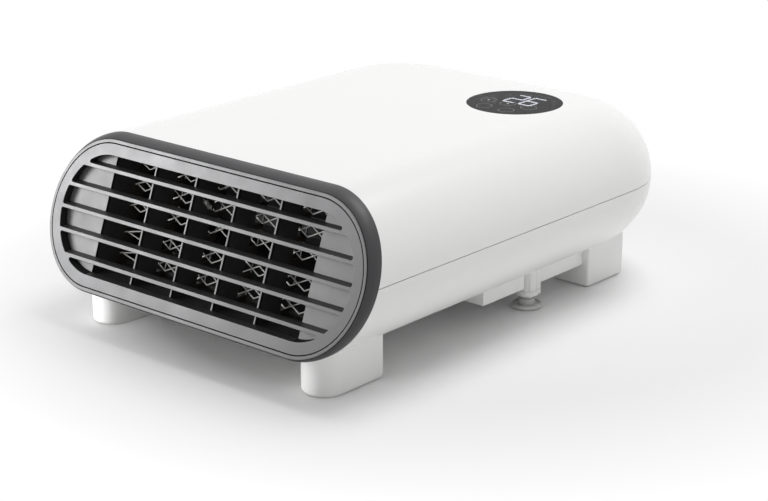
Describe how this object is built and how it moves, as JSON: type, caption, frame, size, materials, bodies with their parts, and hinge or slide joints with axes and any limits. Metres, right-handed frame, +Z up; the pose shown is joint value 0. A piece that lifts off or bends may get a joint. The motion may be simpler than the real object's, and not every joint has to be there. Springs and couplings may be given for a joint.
{
  "type": "fan heater",
  "caption": "Compact fan heater with a leaning slatted outlet, zigzag heating wires, touch display, feet, wall plate and tip-over plunger.",
  "frame": {"origin": "centre of the overall box, at the floor under the feet", "axes": "+X right seen from the outlet, +Y from the outlet to the back, +Z up with the heater on its feet"},
  "size_m": [0.254, 0.3278, 0.112],
  "materials": {
    "case_white": "satin white moulding",
    "bezel_dark": "fine dark grey",
    "trim_grey": "light grey",
    "grille_grey": "satin grey",
    "frame_grey": "light grey",
    "duct_black": "matt black",
    "mica": "flecked mica board",
    "heating_wire": "resistance wire",
    "brass": "stamped",
    "dark_metal": "dark coated",
    "ceramic_white": "ceramic sleeve",
    "wheel_dark": "moulded",
    "steel": "bright steel",
    "copper": "enamelled winding",
    "aluminium": "cast",
    "black_plastic": "matt black",
    "glass_dark": "dark tinted glass",
    "digit_white": "lit segments",
    "board_green": "solder mask",
    "relay_blue": "moulded",
    "capacitor_yellow": "dipped",
    "light_plastic": "moulded",
    "rubber": "matt"
  },
  "bodies": {
    "case": {"upper_shell": "case_white", "lower_shell": "case_white", "bezel_ring": "bezel_dark", "trim_ring": "trim_grey", "outlet_grille": "grille_grey", "outlet_frame": "frame_grey", "outlet_duct": "duct_black", "mica_frame": "mica", "front_heating_wire": "heating_wire", "rear_heating_wire": "heating_wire", "element_terminals": "brass", "thermal_cutout": "dark_metal", "thermal_fuse": "ceramic_white", "shaft_bushes": "brass", "motor_core": "steel", "motor_coil": "copper", "motor_brackets": "aluminium", "motor_screws": "steel", "blower_housing": "black_plastic", "air_tongue": "black_plastic", "display_glass": "glass_dark", "display_digits": "digit_white", "digit_module": "black_plastic", "display_board": "board_green", "touch_contacts": "steel", "power_board": "board_green", "relays": "relay_blue", "capacitors": "capacitor_yellow", "terminal_block": "light_plastic", "cable_gland": "light_plastic", "front_feet": "case_white", "rear_feet": "case_white", "foot_pads": "rubber", "wall_plate": "case_white", "plunger_spring": "steel", "micro_switch": "black_plastic", "case_screws": "steel", "plate_screws": "steel", "board_screws": "steel", "housing_screws": "steel"},
    "blower": {"blower_wheel": "wheel_dark", "blower_shaft": "steel", "motor_rotor": "aluminium"},
    "plunger": {"plunger": "light_plastic", "plunger_clip": "steel"},
    "lever": {"switch_lever": "steel"}
  },
  "joints": [
    {"name": "blower_spin", "type": "hinge", "parent": "case", "child": "blower", "pos_m": [0, -0.05006, 0.067], "axis": [1, 0, 0], "continuous": true},
    {"name": "plunger_slide", "type": "slide", "parent": "case", "child": "plunger", "axis": [0, 0, 1], "range_m": [-0.004, 0.0002], "stiffness_N_per_m": 60, "springref_m": -0.01, "deforming": ["plunger_spring"]},
    {"name": "lever_hinge", "type": "hinge", "parent": "case", "child": "lever", "pos_m": [0.0915, 0.05394, 0.0395], "axis": [1, 0, 0], "range_deg": [-1, 13]}
  ],
  "couplings": [
    {"joint": "lever_hinge", "follows": "plunger_slide", "rad_per_m": -56}
  ]
}
